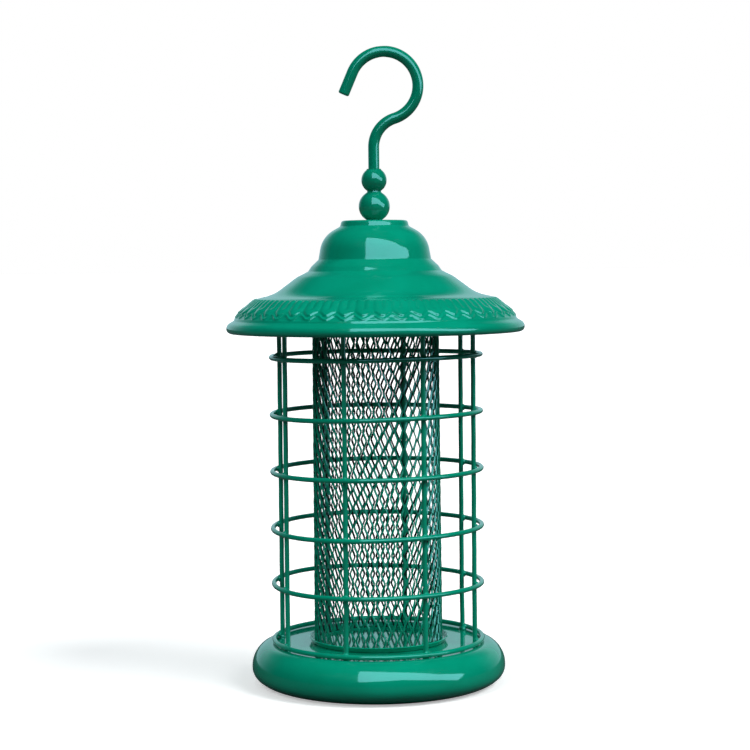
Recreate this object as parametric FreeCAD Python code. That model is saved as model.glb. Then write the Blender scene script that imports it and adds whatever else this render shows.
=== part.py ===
import FreeCAD, Part
import math
import os

# Hanging bird feeder. A mesh seed tube stands inside a round wire cage on a hollow base, under a
# bell-shaped roof that lifts off together with its hanging hook. All of it is painted steel.
# Millimetres, +Z up, +X and -Y to the sides, origin at the centre of the base's underside.

Vector = FreeCAD.Vector
AXIS_POINT = Vector(0, 0, 0)
UP = Vector(0, 0, 1)

# Base: one spun shell, open underneath, with a flat top that is the feeding floor
BASE_RADIUS = 85.8
FLOOR_Z = 27.8
BASE_SHEET = 0.9
BASE_FOOT_INNER_RADIUS = 60.0
BASE_HEM_HEIGHT = 5.0
DRAIN_HOLE_RADIUS = 1.3
DRAIN_RING_RADIUS = 9.0
DRAIN_RING_COUNT = 6

# Cage: six wire rings outside eight uprights, which they touch. The uprights are welded in by
# hand and so are not quite evenly spaced.
WIRE_RADIUS = 1.6
RING_RADIUS = 70.5
RING_COUNT = 6
RING_PITCH = 38.3
LOWEST_RING_Z = 29.9
UPRIGHT_RADIUS = RING_RADIUS - 2 * WIRE_RADIUS
UPRIGHT_AZIMUTHS = (-18.2, 27.0, 73.7, 119.5, 163.5, 211.8, 258.1, 296.7)
UPRIGHT_CORNER_Z = 260.9
UPRIGHT_BEND_RADIUS = 8.0
UPRIGHT_SLOPE_RISE = 9.0
UPRIGHT_END_RADIUS = 44.0

# Seed tube: slightly wider at the bottom, held in a flared foot and a channel-shaped top band
TUBE_BOTTOM_RADIUS = 43.3
TUBE_TOP_RADIUS = 42.5
TUBE_WALL = 0.5
TUBE_TOP_Z = 273.2
TUBE_FOOT_SHEET = 0.8
TUBE_FOOT_INNER_RADIUS = 41.0
TUBE_FOOT_RADIUS = 46.4
TUBE_FOOT_FLARE_RISE = 1.6
BAND_OUTER_RADIUS = 43.4
BAND_INNER_RADIUS = 41.1
BAND_HEIGHT = 8.8
BAND_TOP_Z = 274.0
BAND_SHEET = 0.7

# Bridge across the tube's top, with the nut that takes the hook's thread
STRAP_WIDTH = 12.0
STRAP_THICKNESS = 1.5
STRAP_HOLE_RADIUS = 3.4
THREAD_RADIUS = 3.0
BRIDGE_NUT_BORE_RADIUS = 3.06
NUT_ACROSS_FLATS = 10.0
NUT_HEIGHT = 5.0
NUT_CHAMFER = 0.7

# Roof: a spun bell over a wide brim with a rolled rim
RIM_Z = 237.3
ROOF_HEIGHT = 74.9
ROOF_SHEET = 0.9
ROOF_HOLE_RADIUS = 3.81
RIM_RADIUS = 100.3
RIM_INNER_RADIUS = 95.2
RIM_CURL_HEIGHT = 3.8
ROOF_TOP_Z = RIM_Z + ROOF_HEIGHT

# Hook: a bent rod through two balls, clamped through the roof by a washer and a nut
ROD_RADIUS = 3.75
BALL_SEAT_GAP = 0.1
LOWER_BALL_RADIUS = 10.45
LOWER_BALL_Z = 321.6
BALL_JOINT_Z = 331.0
BALL_NECK_RADIUS = 4.6
BALL_NECK_HEIGHT = 1.5
UPPER_BALL_RADIUS = 8.5
UPPER_BALL_Z = 339.1
ROD_STEP_Z = 311.0
ROD_BOTTOM_Z = 261.2
ROD_TIP_CHAMFER = 0.8
HOOK_RADIUS = 22.8
HOOK_CENTRE_X = 7.2
HOOK_CENTRE_Z = 401.95
NECK_BEND_RADIUS = 19.8
HOOK_TAIL_ANGLE = 156.9
HOOK_TAIL_LENGTH = 15.8
HOOK_TIP_ROUNDING = 1.4
WASHER_RADIUS = 9.0
WASHER_THICKNESS = 1.2


def polar(radius, azimuth, z):
    """Point at a radius and azimuth in degrees, where azimuth 0 is -Y and 90 is +X."""
    angle = math.radians(azimuth)
    return Vector(radius * math.sin(angle), -radius * math.cos(angle), z)


def rounded_path(corners, shift=0.0):
    """Edges of a path in the XZ plane through (r, z, bend radius) corners.

    The whole path is moved sideways by shift, to its left if shift is above 0, so that two
    calls give the two faces of a bent sheet.
    """
    points = [Vector(r, 0, z) for r, z, _ in corners]
    runs = [(b - a).normalize() for a, b in zip(points, points[1:])]
    lefts = [Vector(-run.z, 0, run.x) for run in runs]
    edges = []
    start = points[0] + lefts[0] * shift
    for i in range(1, len(points) - 1):
        before, after = runs[i - 1], runs[i]
        turn = math.atan2(before.x * after.z - before.z * after.x, before.dot(after))
        side = math.copysign(1.0, turn)
        bend = corners[i][2]
        tangent = bend * math.tan(abs(turn) / 2)
        centre = points[i] - before * tangent + lefts[i - 1] * (side * bend)
        reach = side * (shift - side * bend)
        arc_start = centre + lefts[i - 1] * (side * reach)
        arc_end = centre + lefts[i] * (side * reach)
        middle = centre + (lefts[i - 1] + lefts[i]).normalize() * (side * reach)
        edges.append(Part.makeLine(start, arc_start))
        edges.append(Part.Arc(arc_start, middle, arc_end).toShape())
        start = arc_end
    edges.append(Part.makeLine(start, points[-1] + lefts[-1] * shift))
    return edges


def spun_sheet(corners, thickness):
    """Sheet of revolution whose outer face follows the corners, with its metal on the right."""
    outer = rounded_path(corners)
    inner = rounded_path(corners, -thickness)
    first = Part.makeLine(inner[0].firstVertex(True).Point, outer[0].firstVertex(True).Point)
    last = Part.makeLine(outer[-1].lastVertex(True).Point, inner[-1].lastVertex(True).Point)
    wire = Part.Wire(outer + [last] + inner[::-1] + [first])
    return Part.Face(wire).revolve(AXIS_POINT, UP, 360)


def round_rod(path_edges, start, direction, radius):
    """Round bar along a path of tangent lines and arcs."""
    profile = Part.Wire([Part.Circle(start, direction, radius).toShape()])
    return Part.Wire(path_edges).makePipeShell([profile], True, True)


def hexagon_nut(top_z, bore_radius):
    """Hexagon nut on the axis, chamfered on both faces, with its top at top_z."""
    corner_radius = NUT_ACROSS_FLATS / math.sqrt(3)
    bottom_z = top_z - NUT_HEIGHT
    corners = [polar(corner_radius, 60 * i, bottom_z) for i in range(7)]
    prism = Part.Face(Part.makePolygon(corners)).extrude(UP * NUT_HEIGHT)
    barrel_points = [
        Vector(0, 0, bottom_z),
        Vector(corner_radius - NUT_CHAMFER, 0, bottom_z),
        Vector(corner_radius, 0, bottom_z + NUT_CHAMFER / 2),
        Vector(corner_radius, 0, top_z - NUT_CHAMFER / 2),
        Vector(corner_radius - NUT_CHAMFER, 0, top_z),
        Vector(0, 0, top_z),
        Vector(0, 0, bottom_z),
    ]
    barrel = Part.Face(Part.makePolygon(barrel_points)).revolve(AXIS_POINT, UP, 360)
    bore = Part.makeCylinder(bore_radius, NUT_HEIGHT, Vector(0, 0, bottom_z))
    return prism.common(barrel).cut(bore)


def base_shell():
    """Flat feeding floor that rounds over into a fat rim and hems inwards underneath."""
    shell = spun_sheet([
        (DRAIN_HOLE_RADIUS, FLOOR_Z, 0),
        (BASE_RADIUS - 8.6, FLOOR_Z, 12.5),
        (BASE_RADIUS, FLOOR_Z - 8.6, 16.7),
        (BASE_RADIUS, 7.2, 9.0),
        (BASE_RADIUS - 8.2, 0, 17.8),
        (BASE_FOOT_INNER_RADIUS, 0, 1.6),
        (BASE_FOOT_INNER_RADIUS, BASE_HEM_HEIGHT, 0),
    ], BASE_SHEET)
    for i in range(DRAIN_RING_COUNT):
        centre = polar(DRAIN_RING_RADIUS, 30 + 60 * i, FLOOR_Z - 2 * BASE_SHEET)
        shell = shell.cut(Part.makeCylinder(DRAIN_HOLE_RADIUS, 3 * BASE_SHEET, centre))
    return shell


def cage_ring(number):
    """Wire ring; number 1 is the lowest, just clear of the feeding floor."""
    ring_z = LOWEST_RING_Z + (number - 1) * RING_PITCH
    return Part.makeTorus(RING_RADIUS, WIRE_RADIUS, Vector(0, 0, ring_z))


def cage_upright(number):
    """Wire from the floor to the roof, where it bends inwards and up to the tube's top band."""
    path = rounded_path([
        (UPRIGHT_RADIUS, FLOOR_Z, 0),
        (UPRIGHT_RADIUS, UPRIGHT_CORNER_Z, UPRIGHT_BEND_RADIUS),
        (UPRIGHT_END_RADIUS, UPRIGHT_CORNER_Z + UPRIGHT_SLOPE_RISE, 0),
    ])
    upright = round_rod(path, Vector(UPRIGHT_RADIUS, 0, FLOOR_Z), UP, WIRE_RADIUS)
    upright.rotate(AXIS_POINT, UP, UPRIGHT_AZIMUTHS[number - 1] - 90)
    return upright


def tube_foot():
    """Shallow saucer ring welded to the floor; the mesh stands on its flat part."""
    seat_z = FLOOR_Z + TUBE_FOOT_SHEET
    return spun_sheet([
        (TUBE_FOOT_INNER_RADIUS, seat_z, 0),
        (TUBE_BOTTOM_RADIUS + 1.2, seat_z, 0.6),
        (TUBE_FOOT_RADIUS, seat_z + TUBE_FOOT_FLARE_RISE, 0),
    ], TUBE_FOOT_SHEET)


def mesh_tube():
    """Envelope of the expanded-metal tube, as a thin sleeve."""
    bottom_z = FLOOR_Z + TUBE_FOOT_SHEET
    height = TUBE_TOP_Z - bottom_z
    place = Vector(0, 0, bottom_z)
    outside = Part.makeCone(TUBE_BOTTOM_RADIUS, TUBE_TOP_RADIUS, height, place)
    inside = Part.makeCone(TUBE_BOTTOM_RADIUS - TUBE_WALL, TUBE_TOP_RADIUS - TUBE_WALL, height, place)
    return outside.cut(inside)


def tube_top_band():
    """Channel folded over the mesh's top edge."""
    skirt_z = BAND_TOP_Z - BAND_HEIGHT
    return spun_sheet([
        (BAND_INNER_RADIUS, skirt_z, 0),
        (BAND_INNER_RADIUS, BAND_TOP_Z, 0.9),
        (BAND_OUTER_RADIUS, BAND_TOP_Z, 0.9),
        (BAND_OUTER_RADIUS, skirt_z, 0),
    ], BAND_SHEET)


def bridge_strap():
    """Flat bar across the tube's top band, with a clearance hole for the thread."""
    length = 2 * BAND_OUTER_RADIUS
    corner = Vector(-length / 2, -STRAP_WIDTH / 2, BAND_TOP_Z)
    bar = Part.makeBox(length, STRAP_WIDTH, STRAP_THICKNESS, corner)
    place = Vector(0, 0, BAND_TOP_Z)
    round_end = Part.makeCylinder(BAND_OUTER_RADIUS - 0.5, STRAP_THICKNESS, place)
    hole = Part.makeCylinder(STRAP_HOLE_RADIUS, STRAP_THICKNESS, place)
    return bar.common(round_end).cut(hole)


def roof_shell():
    """Bell dome, stepped moulding, flared skirt, round shoulder, ledge and rolled rim."""
    outline = [
        (ROOF_HOLE_RADIUS, ROOF_HEIGHT, 0),
        (22.1, ROOF_HEIGHT, 2.0),
        (23.1, 71.0, 1.2),
        (35.1, 64.3, 18.0),
        (37.9, 48.9, 1.2),
        (42.7, 44.4, 3.5),
        (44.9, 41.1, 1.0),
        (52.4, 37.5, 14.0),
        (68.1, 25.8, 27.0),
        (81.3, 22.8, 14.0),
        (93.4, 12.0, 8.0),
        (95.4, 8.5, 1.2),
        (RIM_RADIUS, 5.7, 2.6),
        (RIM_RADIUS, 0, 3.1),
        (RIM_INNER_RADIUS, 0, 1.8),
        (RIM_INNER_RADIUS, RIM_CURL_HEIGHT, 0),
    ]
    return spun_sheet([(r, RIM_Z + height, bend) for r, height, bend in outline], ROOF_SHEET)


def ball(centre_z, radius, bottom_z, top_z):
    """Turned ball with flats at bottom_z and top_z, bored for the rod."""
    height = top_z - bottom_z
    place = Vector(0, 0, bottom_z)
    sphere = Part.makeSphere(radius, Vector(0, 0, centre_z))
    slab = Part.makeCylinder(radius + 1, height, place)
    return sphere.common(slab).cut(Part.makeCylinder(ROD_RADIUS, height, place))


def lower_ball():
    return ball(LOWER_BALL_Z, LOWER_BALL_RADIUS, ROOF_TOP_Z + BALL_SEAT_GAP, BALL_JOINT_Z)


def upper_ball():
    """Ball that stands on a short neck."""
    top_z = UPPER_BALL_Z + math.sqrt(UPPER_BALL_RADIUS ** 2 - (ROD_RADIUS + 0.3) ** 2)
    shape = ball(UPPER_BALL_Z, UPPER_BALL_RADIUS, BALL_JOINT_Z, top_z)
    place = Vector(0, 0, BALL_JOINT_Z)
    neck = Part.makeCylinder(BALL_NECK_RADIUS, BALL_NECK_HEIGHT, place)
    bore = Part.makeCylinder(ROD_RADIUS, BALL_NECK_HEIGHT, place)
    return shape.fuse(neck.cut(bore)).removeSplitter()


def hook_rod():
    """Threaded stem, plain stem, neck bend and open hook with a straight tail."""
    offset = HOOK_CENTRE_X - NECK_BEND_RADIUS
    reach = HOOK_RADIUS + NECK_BEND_RADIUS
    neck_z = HOOK_CENTRE_Z - math.sqrt(reach ** 2 - offset ** 2)
    neck_turn = math.acos(-offset / reach)

    neck_centre = Vector(NECK_BEND_RADIUS, 0, neck_z)
    hook_centre = Vector(HOOK_CENTRE_X, 0, HOOK_CENTRE_Z)

    def on_neck(angle):
        return neck_centre + Vector(-math.cos(angle), 0, math.sin(angle)) * NECK_BEND_RADIUS

    def on_hook(angle):
        return hook_centre + Vector(math.cos(angle), 0, math.sin(angle)) * HOOK_RADIUS

    start = Vector(0, 0, ROD_STEP_Z)
    tail_angle = math.radians(HOOK_TAIL_ANGLE)
    tail_start = on_hook(tail_angle)
    tail_run = Vector(-math.sin(tail_angle), 0, math.cos(tail_angle))
    tip = tail_start + tail_run * HOOK_TAIL_LENGTH
    path = [
        Part.makeLine(start, on_neck(0)),
        Part.Arc(on_neck(0), on_neck(neck_turn / 2), on_neck(neck_turn)).toShape(),
        Part.Arc(on_hook(-neck_turn), on_hook((tail_angle - neck_turn) / 2), tail_start).toShape(),
        Part.makeLine(tail_start, tip),
    ]
    rod = round_rod(path, start, UP, ROD_RADIUS)
    tip_edge = min(rod.Edges, key=lambda edge: (edge.CenterOfMass - tip).Length)
    rod = rod.makeFillet(HOOK_TIP_ROUNDING, [tip_edge])
    chamfer_top = ROD_BOTTOM_Z + ROD_TIP_CHAMFER
    thread_foot = Vector(0, 0, chamfer_top)
    thread = Part.makeCylinder(THREAD_RADIUS, ROD_STEP_Z - chamfer_top, thread_foot)
    point = Part.makeCone(
        THREAD_RADIUS - ROD_TIP_CHAMFER, THREAD_RADIUS, ROD_TIP_CHAMFER, Vector(0, 0, ROD_BOTTOM_Z))
    return rod.multiFuse([thread, point]).removeSplitter()


def roof_washer():
    place = Vector(0, 0, ROD_STEP_Z - WASHER_THICKNESS)
    disc = Part.makeCylinder(WASHER_RADIUS, WASHER_THICKNESS, place)
    return disc.cut(Part.makeCylinder(THREAD_RADIUS, WASHER_THICKNESS, place))


def parts():
    """Every sub-part by its node name."""
    nodes = {
        "base_shell": base_shell(),
        "tube_foot": tube_foot(),
        "mesh_tube": mesh_tube(),
        "tube_top_band": tube_top_band(),
        "bridge_strap": bridge_strap(),
        "bridge_nut": hexagon_nut(BAND_TOP_Z, BRIDGE_NUT_BORE_RADIUS),
        "roof_shell": roof_shell(),
        "hook_rod": hook_rod(),
        "lower_ball": lower_ball(),
        "upper_ball": upper_ball(),
        "roof_washer": roof_washer(),
        "hook_nut": hexagon_nut(ROD_STEP_Z - WASHER_THICKNESS, THREAD_RADIUS),
    }
    for number in range(1, RING_COUNT + 1):
        nodes[f"cage_ring_{number}"] = cage_ring(number)
    for number in range(1, len(UPRIGHT_AZIMUTHS) + 1):
        nodes[f"cage_upright_{number}"] = cage_upright(number)
    return nodes


os.makedirs("parts", exist_ok=True)
for name, shape in parts().items():
    shape.exportStep(f"parts/{name}.step")
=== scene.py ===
import cmath
import math

import bmesh
import bpy
import numpy as np
from mathutils import Matrix, Vector


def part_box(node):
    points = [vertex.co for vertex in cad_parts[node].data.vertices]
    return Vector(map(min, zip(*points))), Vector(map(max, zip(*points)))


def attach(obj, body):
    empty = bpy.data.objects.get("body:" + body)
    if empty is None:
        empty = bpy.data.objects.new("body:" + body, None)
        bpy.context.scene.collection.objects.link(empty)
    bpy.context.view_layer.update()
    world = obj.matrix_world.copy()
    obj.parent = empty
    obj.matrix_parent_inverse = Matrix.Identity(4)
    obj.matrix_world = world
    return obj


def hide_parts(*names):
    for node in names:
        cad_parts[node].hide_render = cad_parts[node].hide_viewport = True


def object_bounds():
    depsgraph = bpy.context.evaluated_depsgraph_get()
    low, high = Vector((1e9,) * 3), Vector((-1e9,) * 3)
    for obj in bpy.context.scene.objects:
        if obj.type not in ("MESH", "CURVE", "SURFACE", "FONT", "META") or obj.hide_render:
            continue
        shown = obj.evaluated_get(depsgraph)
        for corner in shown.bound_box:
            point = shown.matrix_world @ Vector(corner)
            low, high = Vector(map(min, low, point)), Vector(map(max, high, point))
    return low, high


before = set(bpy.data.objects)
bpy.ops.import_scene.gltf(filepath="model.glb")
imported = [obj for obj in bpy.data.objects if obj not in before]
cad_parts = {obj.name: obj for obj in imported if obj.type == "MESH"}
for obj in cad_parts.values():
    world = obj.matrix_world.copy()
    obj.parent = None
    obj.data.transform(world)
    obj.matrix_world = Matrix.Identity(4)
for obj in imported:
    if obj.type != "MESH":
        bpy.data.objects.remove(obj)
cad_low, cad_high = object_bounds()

# Looks of the hanging bird feeder. Shapes are worked out in millimetres in the CAD's frame, with
# azimuth 0 towards -Y and 90 towards +X, and go into Blender in metres.

MM = 0.001
ARC_STEP = math.radians(9)
rng = np.random.default_rng(11)


def node_box(node):
    """Lowest and highest corner of a CAD node, in millimetres."""
    low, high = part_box(node)
    return np.array(low) / MM, np.array(high) / MM


def smooth_rise(value, low, high):
    """0 below low, 1 above high, and smooth between them."""
    share = np.clip((value - low) / (high - low), 0.0, 1.0)
    return share * share * (3.0 - 2.0 * share)


# ---------------------------------------------------------------------------------- sizes

base_high = node_box("base_shell")[1]
roof_low, roof_high = node_box("roof_shell")
band_low, band_high = node_box("tube_top_band")
mesh_low, mesh_high = node_box("mesh_tube")

FLOOR_Z = base_high[2]
BASE_RADIUS = base_high[0]
BASE_SHEET = 0.9
BASE_OUTLINE = [
    (18.0, FLOOR_Z, 0),
    (BASE_RADIUS - 8.6, FLOOR_Z, 12.5),
    (BASE_RADIUS, FLOOR_Z - 8.6, 16.7),
    (BASE_RADIUS, 7.2, 9.0),
    (BASE_RADIUS - 8.2, 0, 17.8),
    (60.0, 0, 1.6),
    (60.0, 5.0, 0),
]
DRAIN_HOLE_RADIUS = 1.3
DRAIN_RING_RADIUS = 9.0

WIRE_RADIUS = 1.6
RING_RADIUS = 70.5
UPRIGHT_RADIUS = RING_RADIUS - 2 * WIRE_RADIUS
RING_PITCH = 38.3
RING_SEGMENTS = 288
RING_NODES = [f"cage_ring_{i}" for i in range(1, 7)]
RING_HEIGHTS = [(node_box(n)[0][2] + node_box(n)[1][2]) / 2 for n in RING_NODES]
# How each ring stands out of level, from the lowest up, in mm: the rise of its right side, of its
# two diagonals, of its back, and of the whole ring
RING_RISES = [
    (0.1, 0.0, 0.0, 0.0),
    (-0.2, 0.6, 0.0, -0.3),
    (0.6, 0.5, 0.5, -0.5),
    (0.8, 0.1, 0.2, -0.2),
    (0.8, 0.5, 0.0, 0.0),
    (0.5, 0.3, 0.0, 0.1),
]
UPRIGHT_AZIMUTHS = (-18.2, 27.0, 73.7, 119.5, 163.5, 211.8, 258.1, 296.7)
UPRIGHT_PATH = [
    (UPRIGHT_RADIUS, FLOOR_Z, 0),
    (UPRIGHT_RADIUS, 260.9, 8.0),
    (44.0, 269.9, 0),
]
# Uneven lines of the uprights, in mm: bows between the rings and a slow sway along the cage
UPRIGHT_BOW = 0.25
UPRIGHT_SWAY = 0.35
UPRIGHT_SWAY_LENGTH = 97.0
# Welds: half sizes across, outwards and upwards in mm. One upright's foot has a heavier one.
RING_WELD = (2.4, 1.4, 2.3)
FOOT_WELD = (2.3, 2.2, 1.9)
HEAVY_FOOT_WELD = (3.4, 2.2, 3.0)
HEAVY_WELD_UPRIGHT = 3
BAND_WELD = (2.3, 1.6, 2.0)
TUBE_FOOT_SHEET = 0.8
TUBE_FOOT_LIP = (46.5, 2.9)
BAND_SHEET = 0.7

MESH_BOTTOM_RADIUS = 43.3
MESH_TOP_RADIUS = 42.5
MESH_CELLS = 38
MESH_CELL_HEIGHT = 12.6
MESH_SKEW = math.radians(-3.0)
MESH_PHASE = 0.3
MESH_INSET = 0.55
SHORTEST_STRAND = 0.5
BOND_SHARE = 0.44
STRAIGHT_SHARE = 0.55
STRAND_STAGGER = 0.15
STRAND_WIDTH = 1.45
STRAND_SIDES = 6
STRAND_SAMPLES = 5
STRAND_THICKNESS = 0.8
STRAND_LEAN = math.radians(36.0)

ROOF_TOP_Z = roof_high[2]
RIM_Z = roof_low[2]
RIM_RADIUS = roof_high[0]
ROOF_SHEET = 0.9
ROOF_OUTLINE = [
    (3.81, ROOF_TOP_Z, 0),
    (22.1, ROOF_TOP_Z, 2.0),
    (23.1, RIM_Z + 71.0, 1.2),
    (35.1, RIM_Z + 64.3, 18.0),
    (37.9, RIM_Z + 48.9, 1.2),
    (42.7, RIM_Z + 44.4, 3.5),
    (44.9, RIM_Z + 41.1, 1.0),
    (52.4, RIM_Z + 37.5, 14.0),
    (68.1, RIM_Z + 25.8, 27.0),
    (81.3, RIM_Z + 22.8, 14.0),
    (93.4, RIM_Z + 12.0, 8.0),
    (95.4, RIM_Z + 8.5, 1.2),
    (RIM_RADIUS, RIM_Z + 5.7, 4.3),
    (RIM_RADIUS, RIM_Z, 3.1),
    (95.2, RIM_Z, 1.8),
    (95.2, RIM_Z + 3.8, 0),
]
# Pressed border: distances run down the shoulder from its upper edge
BORDER_REPEATS = 48
BORDER_AZIMUTH = -1.0
BORDER_START_RADIUS = 79.3
BORDER_MARGIN = 0.8
BORDER_LENGTH = 21.6
FLUTE_DEPTH = 0.6
LEAF_EXTRA_DEPTH = 0.5
LEAF_MERGE = (7.5, 12.0)
LEAF_END = 14.7
LEAF_END_SWING = 2.0
WAVE_LINE = 17.0
WAVE_SWING = 1.9
WAVE_HALF_WIDTH = 0.75
WAVE_HEIGHT = 0.6
POCKET_END = (18.9, 19.7)
POCKET_DEPTH = 0.25
LEDGE_LINE = 20.2
LEDGE_HEIGHT = 0.12

ROD_RADIUS = 3.75
THREAD_RADIUS = 3.0
THREAD_PITCH = 1.0
THREAD_DEPTH = 0.5
ROD_BOTTOM_Z = node_box("hook_rod")[0][2]
ROD_STEP_Z = node_box("roof_washer")[1][2]
HOOK_RADIUS = 22.8
HOOK_CENTRE = complex(7.2, 401.95)
NECK_BEND_RADIUS = 19.8
HOOK_TAIL_ANGLE = math.radians(156.9)
HOOK_TAIL_LENGTH = 15.8
HOOK_TIP_ROUNDING = 1.1
LOWER_BALL_RADIUS = 10.45
LOWER_BALL_Z = 321.6
UPPER_BALL_RADIUS = 8.5
UPPER_BALL_Z = 339.1
UPPER_BALL_NECK_RADIUS = 4.6
HOOK_MARK_ANGLES = (96.0, 90.0)
HOOK_MARK_DEPTH = 0.12
HOOK_MARK_HALF_WIDTH = 0.9


# ---------------------------------------------------------------------------------- mesh tools


class Build:
    """Vertices in millimetres and faces, gathered before they become one mesh."""

    def __init__(self):
        self.blocks = []
        self.faces = []
        self.count = 0

    def points(self, rows):
        """Adds points and returns their indices, in the same arrangement."""
        rows = np.asarray(rows, float)
        indices = np.arange(rows.size // 3).reshape(rows.shape[:-1]) + self.count
        self.blocks.append(rows.reshape(-1, 3))
        self.count += rows.size // 3
        return indices

    def skin(self, indices, wrap_rows=False):
        """Four-sided faces between neighbouring rows of points, which run round in closed rings."""
        if wrap_rows:
            indices = np.vstack([indices, indices[:1]])
        indices = np.hstack([indices, indices[:, :1]])
        quads = np.stack(
            [indices[:-1, :-1], indices[1:, :-1], indices[1:, 1:], indices[:-1, 1:]], -1)
        self.faces += quads.reshape(-1, 4).tolist()

    def join_rows(self, coarse, fine):
        """Faces between a ring of points and one that has a whole number of times as many."""
        times = len(fine) // len(coarse)
        for i in range(len(coarse)):
            ahead = coarse[(i + 1) % len(coarse)]
            side = [fine[(times * i + k) % len(fine)] for k in range(times, -1, -1)]
            self.faces.append([int(coarse[i]), int(ahead)] + [int(v) for v in side])

    def cap(self, ring):
        """One flat face over a ring of points."""
        self.faces.append([int(v) for v in ring])

    def piece(self, name, body, slot, material, nodes=(), sharp=40):
        """Makes the mesh a piece that rides on a body and stands for CAD nodes."""
        mesh = bpy.data.meshes.new(name)
        mesh.from_pydata((np.vstack(self.blocks) * MM).tolist(), [], self.faces)
        work = bmesh.new()
        work.from_mesh(mesh)
        bmesh.ops.recalc_face_normals(work, faces=work.faces)
        work.to_mesh(mesh)
        work.free()
        mesh.shade_smooth()
        mesh.set_sharp_from_angle(angle=math.radians(sharp))
        mesh.materials.append(material)
        piece = bpy.data.objects.new(name, mesh)
        bpy.context.scene.collection.objects.link(piece)
        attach(piece, body)
        if nodes:
            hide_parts(*nodes)
        return piece


def line_points(start, end, spacing):
    steps = max(1, math.ceil(abs(end - start) / spacing))
    return [start + (end - start) * k / steps for k in range(steps)]


def path_points(corners, shift, spacing):
    """Points r + iz along a path through (r, z, bend radius) corners, moved to its left by shift."""
    points = [complex(r, z) for r, z, _ in corners]
    runs = [(b - a) / abs(b - a) for a, b in zip(points, points[1:])]
    samples = []
    start = points[0] + 1j * runs[0] * shift
    for corner, before, after, (_, _, bend) in zip(points[1:], runs, runs[1:], corners[1:]):
        turn = cmath.phase(after / before)
        side = math.copysign(1.0, turn)
        centre = corner - before * bend * math.tan(abs(turn) / 2) + 1j * before * side * bend
        spoke = 1j * before * (shift - side * bend)
        steps = math.ceil(max(abs(turn) / ARC_STEP, abs(turn * spoke) / spacing))
        samples += line_points(start, centre + spoke, spacing)
        samples += [centre + spoke * cmath.exp(1j * turn * k / steps) for k in range(steps)]
        start = centre + spoke * cmath.exp(1j * turn)
    end = points[-1] + 1j * runs[-1] * shift
    return np.array(samples + line_points(start, end, spacing) + [end])


def turned(profile, segments):
    """Rows of points of a profile r + iz turned about the axis."""
    angles = np.arange(segments) * 2 * math.pi / segments
    r = profile.real[:, None] * np.ones(segments)
    z = profile.imag[:, None] * np.ones(segments)
    return np.stack([r * np.sin(angles), -r * np.cos(angles), z], -1)


def polar(radius, azimuth, z):
    """Point at a radius and an azimuth in degrees."""
    angle = math.radians(azimuth)
    return np.array([radius * math.sin(angle), -radius * math.cos(angle), z])


def swept(centres, radii, sides, closed=False, start_side=(0.0, 1.0, 0.0)):
    """Rows of points of a round bar along a line of centres, without twist."""
    centres = np.asarray(centres, float)
    if closed:
        along = np.roll(centres, -1, 0) - np.roll(centres, 1, 0)
    else:
        along = np.gradient(centres, axis=0)
    along /= np.linalg.norm(along, axis=1)[:, None]
    side = np.array(start_side, float)
    rows = []
    angles = np.arange(sides) * 2 * math.pi / sides
    for centre, run, radius in zip(centres, along, radii):
        side = side - run * side.dot(run)
        side /= np.linalg.norm(side)
        up = np.cross(run, side)
        rows.append(centre + radius * (
            np.cos(angles)[:, None] * side + np.sin(angles)[:, None] * up))
    return np.array(rows)


def sheet_of_revolution(build, corners, thickness, segments, spacing):
    """Closed turned sheet with its metal on the path's right."""
    outer = path_points(corners, 0.0, spacing)
    inner = path_points(corners, -thickness, spacing)
    build.skin(build.points(turned(np.concatenate([outer, inner[::-1]]), segments)), True)


# ---------------------------------------------------------------------------------- materials


def node_material(name):
    """Material with its node tree, its shader and the object coordinates."""
    material = bpy.data.materials.new(name)
    material.use_nodes = True
    tree = material.node_tree
    shader = tree.nodes["Principled BSDF"]
    place = tree.nodes.new("ShaderNodeTexCoord").outputs["Object"]
    return material, tree, shader, place


def noise(tree, place, scale, detail):
    node = tree.nodes.new("ShaderNodeTexNoise")
    node.inputs["Scale"].default_value = scale
    node.inputs["Detail"].default_value = detail
    tree.links.new(place, node.inputs["Vector"])
    return node.outputs["Fac"]


def ramp(tree, value, stops):
    node = tree.nodes.new("ShaderNodeValToRGB")
    node.color_ramp.elements[0].position = stops[0][0]
    node.color_ramp.elements[0].color = (*stops[0][1], 1)
    node.color_ramp.elements[1].position = stops[-1][0]
    node.color_ramp.elements[1].color = (*stops[-1][1], 1)
    for position, colour in stops[1:-1]:
        node.color_ramp.elements.new(position).color = (*colour, 1)
    tree.links.new(value, node.inputs["Fac"])
    return node.outputs["Color"]


def spread(tree, value, low, high, to_low, to_high):
    """Value mapped from low..high to to_low..to_high, and held at the ends."""
    node = tree.nodes.new("ShaderNodeMapRange")
    sockets = ("From Min", "From Max", "To Min", "To Max")
    for socket, number in zip(sockets, (low, high, to_low, to_high)):
        node.inputs[socket].default_value = number
    tree.links.new(value, node.inputs["Value"])
    return node.outputs["Result"]


def bump(tree, height, distance, before=None):
    node = tree.nodes.new("ShaderNodeBump")
    node.inputs["Distance"].default_value = distance
    node.inputs["Strength"].default_value = 1.0
    tree.links.new(height, node.inputs["Height"])
    if before is not None:
        tree.links.new(before, node.inputs["Normal"])
    return node.outputs["Normal"]


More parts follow.
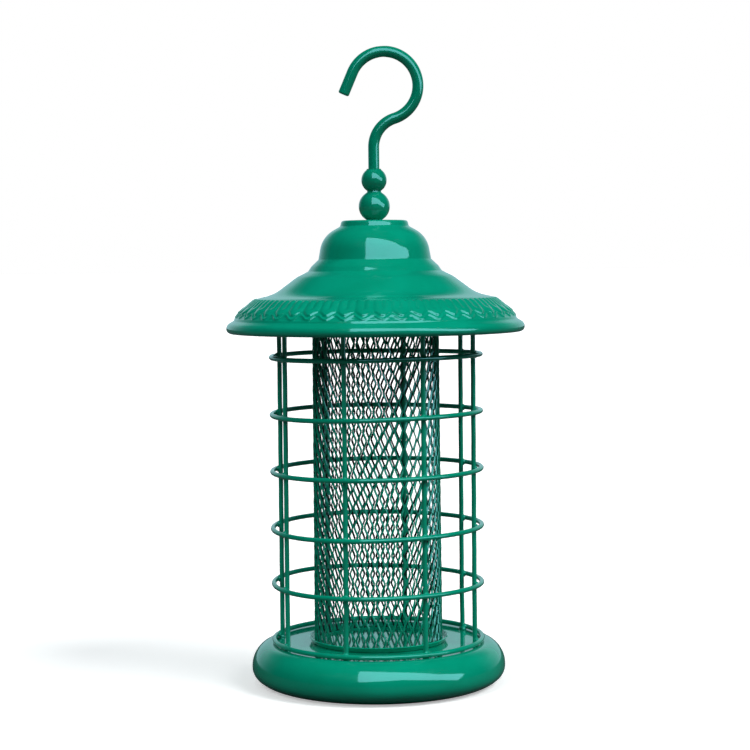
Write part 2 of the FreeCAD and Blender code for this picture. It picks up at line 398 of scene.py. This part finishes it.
def enamel(name, deep, light, peel, waves, roughness):
    """Glossy enamel: uneven green, lighter where it runs thin on edges, faint orange peel.

    The colour varies between deep and light; peel and waves are the heights in mm of the
    orange peel and of the slow unevenness under it.
    """
    material, tree, shader, place = node_material(name)
    clouds = ramp(tree, noise(tree, place, 38.0, 3.0), [(0.3, deep), (0.7, light)])
    edge = tree.nodes.new("ShaderNodeNewGeometry").outputs["Pointiness"]
    thin = spread(tree, edge, 0.53, 0.62, 0.0, 0.5)
    mix = tree.nodes.new("ShaderNodeMix")
    mix.data_type = "RGBA"
    mix.inputs["B"].default_value = (*[min(1.0, c * 1.35 + 0.004) for c in light], 1)
    tree.links.new(thin, mix.inputs["Factor"])
    tree.links.new(clouds, mix.inputs["A"])
    tree.links.new(mix.outputs["Result"], shader.inputs["Base Color"])
    tree.links.new(
        spread(tree, noise(tree, place, 160.0, 4.0), 0.3, 0.7, roughness * 0.7, roughness * 1.4),
        shader.inputs["Roughness"])
    slow = bump(tree, noise(tree, place, 45.0, 1.0), waves * MM)
    fine = bump(tree, noise(tree, place, 520.0, 2.0), peel * MM, slow)
    tree.links.new(fine, shader.inputs["Normal"])
    shader.inputs["IOR"].default_value = 1.5
    shader.inputs["Specular IOR Level"].default_value = 0.2
    shader.inputs["Coat Weight"].default_value = 1.0
    shader.inputs["Coat Roughness"].default_value = 0.03
    shader.inputs["Coat IOR"].default_value = 1.5
    return material


def painted_inside_shade(material, dark):
    """Painted shade: darker where the surface faces the feeder's axis, as the tube's inside lies in
    shade.
    """
    tree = material.node_tree
    shader = tree.nodes["Principled BSDF"]
    paint = shader.inputs["Base Color"].links[0].from_socket
    facing = tree.nodes.new("ShaderNodeVectorMath")
    facing.operation = "DOT_PRODUCT"
    flat = tree.nodes.new("ShaderNodeVectorMath")
    flat.operation = "MULTIPLY"
    flat.inputs[1].default_value = (1, 1, 0)
    out = tree.nodes.new("ShaderNodeVectorMath")
    out.operation = "NORMALIZE"
    place = tree.nodes.new("ShaderNodeTexCoord")
    tree.links.new(place.outputs["Object"], flat.inputs[0])
    tree.links.new(flat.outputs["Vector"], out.inputs[0])
    tree.links.new(out.outputs["Vector"], facing.inputs[0])
    tree.links.new(place.outputs["Normal"], facing.inputs[1])
    mix = tree.nodes.new("ShaderNodeMix")
    mix.data_type = "RGBA"
    tree.links.new(spread(tree, facing.outputs["Value"], -0.65, 0.0, 1.0, 0.0), mix.inputs["Factor"])
    tree.links.new(paint, mix.inputs["A"])
    mix.inputs["B"].default_value = (*dark, 1)
    tree.links.new(mix.outputs["Result"], shader.inputs["Base Color"])


def zinc_plate(name):
    """Zinc plating: soft grey metal, cloudy, with a faint warm tint and a fine grain."""
    material, tree, shader, place = node_material(name)
    tree.links.new(
        ramp(tree, noise(tree, place, 300.0, 3.0),
             [(0.3, (0.42, 0.43, 0.43)), (0.55, (0.6, 0.6, 0.59)), (0.75, (0.68, 0.66, 0.6))]),
        shader.inputs["Base Color"])
    cloudy = spread(tree, noise(tree, place, 900.0, 3.0), 0.3, 0.7, 0.26, 0.44)
    tree.links.new(cloudy, shader.inputs["Roughness"])
    grain = bump(tree, noise(tree, place, 1800.0, 2.0), 0.03 * MM)
    tree.links.new(grain, shader.inputs["Normal"])
    shader.inputs["Metallic"].default_value = 1.0
    return material


GREEN_DEEP = (0.0005, 0.30, 0.177)
GREEN_LIGHT = (0.001, 0.35, 0.215)
HOOK_DEEP = (0.0004, 0.25, 0.145)
HOOK_LIGHT = (0.0008, 0.3, 0.18)
# The mesh's greens are the same paint made darker: painted shade for the tube under the roof
MESH_SHADED_DEEP = (0.0004, 0.2, 0.12)
MESH_SHADED_LIGHT = (0.0008, 0.27, 0.16)
# Painted shade for the mesh's faces that look towards the axis
MESH_INSIDE_SHADE = (0.0003, 0.022, 0.016)
roof_green = enamel("roof_enamel", GREEN_DEEP, GREEN_LIGHT, 0.004, 0.03, 0.12)
base_green = enamel("base_enamel", GREEN_DEEP, GREEN_LIGHT, 0.004, 0.03, 0.12)
hook_green = enamel("hook_enamel", HOOK_DEEP, HOOK_LIGHT, 0.001, 0.008, 0.12)
wire_green = enamel("wire_enamel", GREEN_DEEP, GREEN_LIGHT, 0.002, 0.01, 0.14)
mesh_green = enamel("mesh_enamel", MESH_SHADED_DEEP, MESH_SHADED_LIGHT, 0.002, 0.01, 0.16)
# The mesh's inward faces get painted shade
painted_inside_shade(mesh_green, MESH_INSIDE_SHADE)
zinc = zinc_plate("zinc_plate")


# ---------------------------------------------------------------------------------- base


def base_piece():
    """Hollow cushion with a flat floor, drain holes in its middle and a hem underneath."""
    segments = 360
    build = Build()
    outer = build.points(turned(path_points(BASE_OUTLINE, 0.0, 1.5), segments))
    inner = build.points(turned(path_points(BASE_OUTLINE, -BASE_SHEET, 2.5), segments))
    build.skin(outer)
    build.skin(inner)
    build.skin(np.vstack([outer[-1:], inner[-1:]]))
    discs = []
    for z, edge in ((FLOOR_Z, outer[0]), (FLOOR_Z - BASE_SHEET, inner[0])):
        holes = [(0.0, 0.0)] + [(DRAIN_RING_RADIUS, 30 + 60 * i) for i in range(6)]
        rings = []
        for radius, azimuth in holes:
            centre = polar(radius, azimuth, z)
            ring = [centre + polar(DRAIN_HOLE_RADIUS, 15 * k, 0) for k in range(24)]
            rings.append(build.points(ring))
        discs.append((edge, rings))
    for upper, lower in zip(discs[0][1], discs[1][1]):
        build.skin(np.vstack([upper, lower]))
    # The floor between the holes is filled with triangles from its edges alone
    corners = np.vstack(build.blocks)
    for edge, rings in discs:
        flat = bmesh.new()
        loops = [[flat.verts.new(corners[i]) for i in ring] for ring in [edge] + rings]
        sides = [flat.edges.new((a, b)) for loop in loops for a, b in zip(loop, loop[1:] + loop[:1])]
        number = {v: int(i) for loop, ring in zip(loops, [edge] + rings) for v, i in zip(loop, ring)}
        bmesh.ops.triangle_fill(flat, edges=sides, use_beauty=True)
        build.faces += [[number[v] for v in face.verts] for face in flat.faces]
        flat.free()
    return build.piece("base", "feeder", "green_enamel", base_green, ["base_shell"])


def tube_foot_piece():
    """Saucer ring with a raised lip, which the mesh stands in."""
    seat = FLOOR_Z + TUBE_FOOT_SHEET
    lip_radius, lip_rise = TUBE_FOOT_LIP
    corners = [(41.0, seat, 0), (44.6, seat, 1.0), (lip_radius, seat + lip_rise, 0)]
    build = Build()
    sheet_of_revolution(build, corners, TUBE_FOOT_SHEET, 300, 0.4)
    return build.piece("tube_foot_ring", "feeder", "green_enamel", base_green, ["tube_foot"])


# ---------------------------------------------------------------------------------- roof


def border_relief(distance, azimuth):
    """Height in mm of the pressed border: flutes that merge into leaf tips over a wave line."""
    turn = 2 * math.pi * ((azimuth - BORDER_AZIMUTH) * BORDER_REPEATS / 360.0 - 0.5)
    swing = np.cos(turn)
    flutes = np.abs(np.sin(turn)) ** 0.7
    tongue = np.abs(np.cos(turn / 2)) ** 0.6
    merged = smooth_rise(distance, *LEAF_MERGE)
    top = 1.6 * (1.0 - flutes)
    leaf_end = LEAF_END + LEAF_END_SWING * swing
    leaf = flutes * (1.0 - merged) + tongue * merged
    leaf = leaf * smooth_rise(distance, top, top + 1.3) * (
        1.0 - smooth_rise(distance, leaf_end - 1.3, leaf_end + 0.3))
    wave_line = WAVE_LINE + WAVE_SWING * swing
    wave = np.exp(-((distance - wave_line) / WAVE_HALF_WIDTH) ** 2)
    pocket = smooth_rise(distance, wave_line + 0.6, wave_line + 1.5) * (
        1.0 - smooth_rise(distance, *POCKET_END))
    ledge = np.exp(-((distance - LEDGE_LINE) / 0.5) ** 2)
    depth = FLUTE_DEPTH + LEAF_EXTRA_DEPTH * merged
    return (depth * leaf + WAVE_HEIGHT * wave - POCKET_DEPTH * pocket * (0.5 - 0.5 * swing)
            + LEDGE_HEIGHT * ledge)


def roof_piece():
    """Spun bell whose shoulder carries the pressed border, with a rolled rim and plain inside."""
    coarse, fine = 256, 768
    outer = path_points(ROOF_OUTLINE, 0.0, 1.8)
    inner = path_points(ROOF_OUTLINE, -ROOF_SHEET, 3.0)
    dense = path_points(ROOF_OUTLINE, 0.0, 0.4)
    steps = np.abs(np.diff(dense))
    first = int(np.argmax(dense.real > BORDER_START_RADIUS))
    run = np.concatenate([[0.0], np.cumsum(steps)])
    run -= run[first]
    shoulder = (run > -BORDER_MARGIN) & (run < BORDER_LENGTH)
    ends = dense[shoulder][[0, -1]]
    before = int(np.argmin(np.abs(outer - ends[0])))
    after = int(np.argmin(np.abs(outer - ends[1])))
    build = Build()
    upper = build.points(turned(outer[:before], coarse))
    lower = build.points(turned(outer[after + 1:], coarse))
    inside = build.points(turned(inner, coarse))

    border = turned(dense[shoulder], fine)
    across = np.gradient(dense)[shoulder]
    across = 1j * across / np.abs(across)
    azimuths = np.arange(fine) * 360.0 / fine
    relief = border_relief(run[shoulder][:, None], azimuths[None, :])
    angles = np.radians(azimuths)
    border[:, :, 0] += relief * across.real[:, None] * np.sin(angles)
    border[:, :, 1] -= relief * across.real[:, None] * np.cos(angles)
    border[:, :, 2] += relief * across.imag[:, None]
    middle = build.points(border)

    build.skin(upper)
    build.skin(middle)
    build.skin(lower)
    build.skin(inside)
    build.join_rows(upper[-1], middle[0])
    build.join_rows(lower[0], middle[-1])
    build.skin(np.vstack([upper[:1], inside[:1]]))
    build.skin(np.vstack([lower[-1:], inside[-1:]]))
    return build.piece("roof", "roof", "green_enamel", roof_green, ["roof_shell"], 60)


# ---------------------------------------------------------------------------------- cage


def ring_height(number, angle):
    """Height of a ring's centre line at an angle in radians."""
    right, diagonal, back, whole = RING_RISES[number]
    return (RING_HEIGHTS[number] + whole + right * np.sin(angle) + diagonal * np.sin(2 * angle)
            - back * np.cos(angle))


def ring_pieces():
    """Six wire hoops, each closed by a butt weld at the back and a little out of level."""
    angles = np.arange(RING_SEGMENTS) * 2 * math.pi / RING_SEGMENTS
    for number, node in enumerate(RING_NODES):
        build = Build()
        seam = math.radians(150.0 + 13.0 * number)
        lump = np.exp(-((angles - seam) / 0.022) ** 2)
        radius = RING_RADIUS + 0.1 * np.sin(2 * angles + 1.7 * number + 0.5)
        centres = np.stack([
            radius * np.sin(angles), -radius * np.cos(angles), ring_height(number, angles)], -1)
        build.skin(build.points(swept(
            centres, WIRE_RADIUS * (1 + 0.12 * lump), 16, True, (0, 0, 1))), True)
        build.piece(f"ring_{number + 1}", "feeder", "green_wire", wire_green, [node])


def upright_line(number):
    """Centres of an upright, very slightly bowed between the rings."""
    profile = path_points(UPRIGHT_PATH, 0.0, 3.0)
    straight = smooth_rise(255.0 - profile.imag, 0.0, 40.0) * smooth_rise(profile.imag, 30.0, 60.0)
    bow = UPRIGHT_BOW * np.sin(profile.imag / RING_PITCH * math.pi + number) * straight
    sway = UPRIGHT_SWAY * np.sin(profile.imag / UPRIGHT_SWAY_LENGTH + 2.4 * number) * straight
    angle = math.radians(UPRIGHT_AZIMUTHS[number])
    out = np.array([math.sin(angle), -math.cos(angle), 0.0])
    across = np.array([math.cos(angle), math.sin(angle), 0.0])
    return ((profile.real - 0.5 * np.abs(bow))[:, None] * out + sway[:, None] * across
            + profile.imag[:, None] * np.array([0.0, 0.0, 1.0]))


def upright_pieces():
    """Eight wires, each closed by flat ends."""
    for number in range(len(UPRIGHT_AZIMUTHS)):
        build = Build()
        centres = upright_line(number)
        rows = build.points(swept(centres, np.full(len(centres), WIRE_RADIUS), 14))
        build.skin(rows)
        build.cap(rows[0])
        build.cap(rows[-1])
        build.piece(f"upright_{number + 1}", "feeder", "green_wire", wire_green,
                    [f"cage_upright_{number + 1}"])


def blob(build, centre, axes, sizes, lumps=0.08):
    """Rounded lump with half sizes along three axes, uneven by a random share of lumps."""
    rings, sides = 9, 12
    polar_angles = (np.arange(rings) + 1) * math.pi / (rings + 1)
    turns = np.arange(sides) * 2 * math.pi / sides
    rough = 1.0 + lumps * rng.standard_normal((rings, sides)) * 0.5
    body = np.stack([
        np.sin(polar_angles)[:, None] * np.cos(turns) * rough,
        np.sin(polar_angles)[:, None] * np.sin(turns) * rough,
        np.cos(polar_angles)[:, None] * np.ones(sides)], -1) * np.array(sizes)
    frame_axes = np.array(axes)
    rows = build.points(body @ frame_axes + centre)
    top, bottom = build.points([centre + frame_axes[2] * sizes[2], centre - frame_axes[2] * sizes[2]])
    build.skin(rows)
    for ring, tip in ((rows[0], top), (rows[-1], bottom)):
        for a, b in zip(ring, np.roll(ring, -1)):
            build.faces.append([int(a), int(b), int(tip)])


def weld_piece():
    """Resistance welds where rings cross uprights, larger ones at the floor and the top band."""
    build = Build()
    up = np.array([0.0, 0.0, 1.0])
    for number, azimuth in enumerate(UPRIGHT_AZIMUTHS):
        line = upright_line(number)
        for ring in range(len(RING_NODES)):
            height = ring_height(ring, math.radians(azimuth))
            here = line[int(np.argmin(np.abs(line[:, 2] - height)))]
            radius = math.hypot(here[0], here[1])
            out = np.array([here[0], here[1], 0.0]) / radius
            centre = out * (radius + WIRE_RADIUS) + up * height
            blob(build, centre, (np.cross(up, out), out, up), RING_WELD)
        foot = polar(UPRIGHT_RADIUS, azimuth, FLOOR_Z + 0.4)
        out = polar(1.0, azimuth, 0.0)
        foot_sizes = HEAVY_FOOT_WELD if number == HEAVY_WELD_UPRIGHT else FOOT_WELD
        blob(build, foot, (np.cross(up, out), out, up), foot_sizes, 0.12)
        blob(build, line[-1], (np.cross(up, out), out, up), BAND_WELD, 0.1)
    return build.piece("cage_welds", "feeder", "green_wire", wire_green)


# ---------------------------------------------------------------------------------- mesh tube


def strand_tube(low_z, high_z, start, way):
    """Rows of points of one strand that climbs half a diamond, to the right if way is 1."""
    bottom, top = mesh_low[2], mesh_high[2]
    pitch = 2 * math.pi / MESH_CELLS
    share = np.linspace(0.0, 1.0, STRAND_SAMPLES)
    ease = STRAIGHT_SHARE * share + (1.0 - STRAIGHT_SHARE) * smooth_rise(share, 0.0, 1.0)
    z = low_z + (high_z - low_z) * share
    height = (z - bottom) / (top - bottom)
    radius = MESH_BOTTOM_RADIUS + (MESH_TOP_RADIUS - MESH_BOTTOM_RADIUS) * height - MESH_INSET
    bond = BOND_SHARE * STRAND_WIDTH / radius
    angle = start + way * (bond + (pitch / 2 - 2 * bond) * ease) + MESH_SKEW * height
    out = np.stack([np.sin(angle), -np.cos(angle), np.zeros_like(z)], -1)
    reach = radius + STRAND_STAGGER * way * np.cos(math.pi * share)
    centres = out * reach[:, None] + z[:, None] * np.array([0.0, 0.0, 1.0])
    run = np.gradient(centres, axis=0)
    run /= np.linalg.norm(run, axis=1)[:, None]
    side = np.cross(run, out)
    side *= np.sign(side[:, 2:])
    wide = side * math.cos(STRAND_LEAN) - out * math.sin(STRAND_LEAN)
    thick = out * math.cos(STRAND_LEAN) + side * math.sin(STRAND_LEAN)
    turns = (np.arange(STRAND_SIDES) + 0.5) * 2 * math.pi / STRAND_SIDES
    across = 0.55 * STRAND_WIDTH * np.cos(turns)
    through = 0.55 * STRAND_THICKNESS * np.sin(turns)
    return (centres[:, None, :] + across[None, :, None] * wide[:, None, :]
            + through[None, :, None] * thick[:, None, :])


def mesh_piece():
    """Expanded metal rolled into a tube: flat strands that meet side by side in short bonds."""
    build = Build()
    bottom, top = mesh_low[2], mesh_high[2]
    half_height = MESH_CELL_HEIGHT / 2
    pitch = 2 * math.pi / MESH_CELLS
    for row in range(int((top - bottom) / half_height) + 1):
        low_z = bottom + row * half_height
        high_z = min(low_z + half_height, top)
        if high_z - low_z < SHORTEST_STRAND:
            continue
        for cell in range(MESH_CELLS):
            for way in (-1, 1):
                start = (cell + MESH_PHASE + 0.5 * (row % 2)) * pitch
                rings = build.points(strand_tube(low_z, high_z, start, way))
                build.skin(rings)
                build.cap(rings[0])
                build.cap(rings[-1])
    return build.piece("seed_mesh", "feeder", "green_mesh", mesh_green, ["mesh_tube"], 50)


def band_piece():
    """Channel folded over the mesh's top edge."""
    build = Build()
    skirt, top = band_low[2], band_high[2]
    corners = [(41.1, skirt, 0), (41.1, top, 0.9), (43.4, top, 0.9), (43.4, skirt, 0)]
    sheet_of_revolution(build, corners, BAND_SHEET, 240, 1.2)
    return build.piece("top_band", "feeder", "green_enamel", wire_green, ["tube_top_band"])


# ---------------------------------------------------------------------------------- hook


def hook_piece():
    """Bent rod with a rounded tip above and a cut M6 thread below."""
    offset = HOOK_CENTRE.real - NECK_BEND_RADIUS
    reach = HOOK_RADIUS + NECK_BEND_RADIUS
    neck_turn = math.acos(-offset / reach)
    neck_z = HOOK_CENTRE.imag - math.sqrt(reach ** 2 - offset ** 2)
    neck_centre = complex(NECK_BEND_RADIUS, neck_z)
    start = complex(0.0, ROD_STEP_Z)
    spacing = 1.2
    line = line_points(start, complex(0.0, neck_z), spacing)
    steps = math.ceil(neck_turn * NECK_BEND_RADIUS / spacing)
    line += [
        neck_centre - NECK_BEND_RADIUS * cmath.exp(-1j * neck_turn * k / steps) for k in range(steps)]
    sweep = HOOK_TAIL_ANGLE + neck_turn
    steps = math.ceil(sweep * HOOK_RADIUS / spacing)
    line += [
        HOOK_CENTRE + HOOK_RADIUS * cmath.exp(1j * (sweep * k / steps - neck_turn))
        for k in range(steps)]
    tail_start = HOOK_CENTRE + HOOK_RADIUS * cmath.exp(1j * HOOK_TAIL_ANGLE)
    tail_run = 1j * cmath.exp(1j * HOOK_TAIL_ANGLE)
    tip = tail_start + tail_run * HOOK_TAIL_LENGTH
    line += line_points(tail_start, tip - tail_run * HOOK_TIP_ROUNDING, spacing)
    radii = [ROD_RADIUS] * len(line)
    for k in range(8):
        angle = math.pi / 2 * k / 8
        line.append(tip - tail_run * HOOK_TIP_ROUNDING * (1 - math.sin(angle)))
        radii.append(ROD_RADIUS - HOOK_TIP_ROUNDING * (1 - math.cos(angle)))
    centres = np.array([(p.real, 0.0, p.imag) for p in line])
    # Faint dents that the bending tool left near the crest
    for angle in HOOK_MARK_ANGLES:
        mark = HOOK_CENTRE + HOOK_RADIUS * cmath.exp(1j * math.radians(angle))
        radii = [r - HOOK_MARK_DEPTH * math.exp(-(abs(p - mark) / HOOK_MARK_HALF_WIDTH) ** 2)
                 for r, p in zip(radii, line)]
    sides = 36
    build = Build()
    rod = build.points(swept(centres, radii, sides))
    build.skin(rod)
    build.cap(rod[-1])

    heights = np.arange(ROD_BOTTOM_Z, ROD_STEP_Z, THREAD_PITCH / 7)
    angles = np.arange(sides) * 2 * math.pi / sides
    phase = (heights[:, None] / THREAD_PITCH - angles[None, :] / (2 * math.pi)) % 1.0
    groove = np.clip(np.abs(phase - 0.5) * 2.6 - 0.3, 0.0, 1.0)
    fade = smooth_rise(heights, ROD_BOTTOM_Z, ROD_BOTTOM_Z + 0.9)[:, None]
    r = (THREAD_RADIUS - THREAD_DEPTH * groove) * (0.78 + 0.22 * fade)
    thread = np.stack([r * np.sin(angles), -r * np.cos(angles), heights[:, None] * np.ones(sides)], -1)
    rows = build.points(thread)
    build.skin(rows)
    build.cap(rows[0])
    # The thread runs into the foot of the plain stem, whose points start half a turn further on
    build.skin(np.vstack([np.roll(rows[-1], -(sides // 2)), rod[0]]))
    return build.piece("hook", "hook", "green_enamel", hook_green, ["hook_rod"])


def ball_piece(name, node, radius, centre_z, neck_radius):
    """Turned ball on a neck, with paint in small fillets where it meets its neighbours."""
    low, high = node_box(node)
    bottom_angle = math.asin(max(-1.0, (low[2] - centre_z) / radius))
    top_angle = math.asin(min(1.0, (high[2] - centre_z) / radius))
    arc = centre_z * 1j + radius * np.exp(1j * np.linspace(bottom_angle, top_angle, 56))
    below = np.exp(-((arc.imag - low[2]) / 0.7) ** 2)
    above = np.exp(-((arc.imag - high[2]) / 0.5) ** 2)
    outer = np.maximum(arc.real, neck_radius + 0.25 * below) + 0.3 * above + 1j * arc.imag
    loop = np.concatenate([[complex(ROD_RADIUS, low[2])], outer, [complex(ROD_RADIUS, high[2])]])
    build = Build()
    build.skin(build.points(turned(loop, 96)), True)
    return build.piece(name, "hook", "green_enamel", hook_green, [node])


base_piece()
tube_foot_piece()
mesh_piece()
band_piece()
ring_pieces()
upright_pieces()
weld_piece()
roof_piece()
hook_piece()
ball_piece("ball_lower", "lower_ball", LOWER_BALL_RADIUS, LOWER_BALL_Z, 0.0)
ball_piece("ball_upper", "upper_ball", UPPER_BALL_RADIUS, UPPER_BALL_Z, UPPER_BALL_NECK_RADIUS)
KEPT_NODES = {"bridge_strap": wire_green, "bridge_nut": zinc, "roof_washer": zinc, "hook_nut": zinc}
for node, material in KEPT_NODES.items():
    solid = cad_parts[node]
    solid.data.materials.clear()
    solid.data.materials.append(material)


# ---------------------------------------------------------------------------------- studio


WINDOW_AZIMUTH = 32.0
WINDOW_DISTANCE = 1.6
# Corners of the window in metres: along it from its middle, and above the ground
WINDOW_CORNERS = [
    (-1.95, 0.93), (-0.3, 0.84), (1.4, 0.0), (2.0, 0.75), (0.85, 1.2), (0.0, 2.8), (-3.4, 9.5)]
WINDOW_FACES = [(0, 1, 5, 6), (1, 4, 5), (1, 2, 3, 4)]
WINDOW_COLOUR = (0.3, 0.85, 1.0, 1)
WINDOW_RADIANCE = 5.5
# Broad soft lights: name, azimuth and elevation in degrees, strength
SKIES = [("key", 62, 44, 2.4), ("fill", -40, 42, 1.2), ("overhead", 0, 88, 0.5)]
SKY_ANGLE = math.radians(32)
FLOOR_HALF_SIZE = 60.0
FLOOR_GAP = 0.0002
FLOOR_GLOW = 0.42
# Camera: place in metres, tilt down and roll in radians, lens in mm
CAMERA_PLACE = (-0.00064, -1.3, 0.2837)
CAMERA_DOWN = 0.058
CAMERA_ROLL = -0.0101
CAMERA_LENS = 92.64
# Colours that the surround shows to the feeder, from its dark parts to its glow low behind
SURROUND_STOPS = [(0.0, (0.004, 0.03, 0.04)), (0.4, (0.07, 0.19, 0.22)), (1.0, (0.32, 0.56, 0.6))]


def direction(azimuth, elevation):
    a, e = math.radians(azimuth), math.radians(elevation)
    return Vector((math.sin(a) * math.cos(e), -math.cos(a) * math.cos(e), math.sin(e)))


def link(thing):
    bpy.context.scene.collection.objects.link(thing)


def camera_sees(tree, other, direct):
    """Shader that shows direct to the camera and other to everything else."""
    seen = tree.nodes.new("ShaderNodeLightPath")
    mix = tree.nodes.new("ShaderNodeMixShader")
    tree.links.new(seen.outputs["Is Camera Ray"], mix.inputs["Fac"])
    tree.links.new(other, mix.inputs[1])
    tree.links.new(direct, mix.inputs[2])
    return mix.outputs["Shader"]


def studio_floor():
    """Pale floor that runs out to the white surround and looks dim in reflections."""
    ground = bmesh.new()
    bmesh.ops.create_grid(ground, x_segments=4, y_segments=4, size=FLOOR_HALF_SIZE)
    mesh = bpy.data.meshes.new("studio_floor")
    ground.to_mesh(mesh)
    ground.free()
    floor = bpy.data.objects.new("studio_floor", mesh)
    floor.location = (0, 0, cad_low[2] - FLOOR_GAP)
    link(floor)
    material, tree, shader, _ = node_material("studio_floor")
    shader.inputs["Base Color"].default_value = (0.9, 0.9, 0.9, 1)
    shader.inputs["Roughness"].default_value = 0.9
    shader.inputs["Specular IOR Level"].default_value = 0.0
    shader.inputs["Emission Color"].default_value = (1, 1, 1, 1)
    shader.inputs["Emission Strength"].default_value = FLOOR_GLOW
    dim = tree.nodes.new("ShaderNodeBsdfDiffuse")
    dim.inputs["Color"].default_value = (0.05, 0.09, 0.085, 1)
    output = tree.nodes["Material Output"]
    tree.links.new(
        camera_sees(tree, dim.outputs["BSDF"], shader.outputs["BSDF"]), output.inputs["Surface"])
    mesh.materials.append(material)


def surround():
    """White to the camera; to the feeder dark, with a glow low behind it."""
    world = bpy.data.worlds.new("studio")
    bpy.context.scene.world = world
    world.use_nodes = True
    tree = world.node_tree
    around = tree.nodes["Background"]
    way = tree.nodes.new("ShaderNodeSeparateXYZ")
    tree.links.new(tree.nodes.new("ShaderNodeTexCoord").outputs["Generated"], way.inputs["Vector"])
    behind = spread(tree, way.outputs["Y"], 0.3, 0.85, 0.0, 1.0)
    level = spread(tree, way.outputs["Z"], 0.35, 0.62, 1.0, 0.0)
    glow = tree.nodes.new("ShaderNodeMath")
    glow.operation = "MULTIPLY"
    tree.links.new(behind, glow.inputs[0])
    tree.links.new(level, glow.inputs[1])
    tree.links.new(ramp(tree, glow.outputs["Value"], SURROUND_STOPS), around.inputs["Color"])
    backdrop = tree.nodes.new("ShaderNodeBackground")
    backdrop.inputs["Color"].default_value = (1, 1, 1, 1)
    output = tree.nodes["World Output"]
    tree.links.new(
        camera_sees(tree, around.outputs["Background"], backdrop.outputs["Background"]),
        output.inputs["Surface"])


def window():
    """What gloss mirrors: an upright sheet of light with sharp edges, which lights nothing else."""
    out = direction(WINDOW_AZIMUTH, 0)
    across = Vector((0, 0, 1)).cross(out)
    corners = [out * WINDOW_DISTANCE + across * x + Vector((0, 0, z)) for x, z in WINDOW_CORNERS]
    mesh = bpy.data.meshes.new("studio_window")
    mesh.from_pydata([tuple(corner) for corner in corners], [], WINDOW_FACES)
    material = bpy.data.materials.new("studio_window")
    material.use_nodes = True
    tree = material.node_tree
    glow = tree.nodes.new("ShaderNodeEmission")
    glow.inputs["Color"].default_value = WINDOW_COLOUR
    glow.inputs["Strength"].default_value = WINDOW_RADIANCE
    tree.links.new(glow.outputs["Emission"], tree.nodes["Material Output"].inputs["Surface"])
    mesh.materials.append(material)
    sheet = bpy.data.objects.new("studio_window", mesh)
    sheet.visible_camera = False
    sheet.visible_diffuse = False
    sheet.visible_shadow = False
    link(sheet)


def sky(name, azimuth, elevation, strength):
    """Broad soft light from one part of the sky, which gloss doesn't mirror."""
    data = bpy.data.lights.new(name, "SUN")
    data.angle = SKY_ANGLE
    data.energy = strength
    light = bpy.data.objects.new(name, data)
    light.matrix_world = direction(azimuth, elevation).to_track_quat("Z", "Y").to_matrix().to_4x4()
    light.visible_camera = False
    light.visible_glossy = False
    link(light)


def camera():
    data = bpy.data.cameras.new("camera")
    data.sensor_width = 36.0
    data.lens = CAMERA_LENS
    data.clip_start = 0.01
    view = bpy.data.objects.new("camera", data)
    view.matrix_world = (
        Matrix.Translation(CAMERA_PLACE)
        @ Matrix.Rotation(math.pi / 2 - CAMERA_DOWN, 4, "X") @ Matrix.Rotation(CAMERA_ROLL, 4, "Z"))
    link(view)
    bpy.context.scene.camera = view


studio_floor()
surround()
window()
for sky_light in SKIES:
    sky(*sky_light)
camera()
bpy.context.scene.view_settings.view_transform = "Standard"
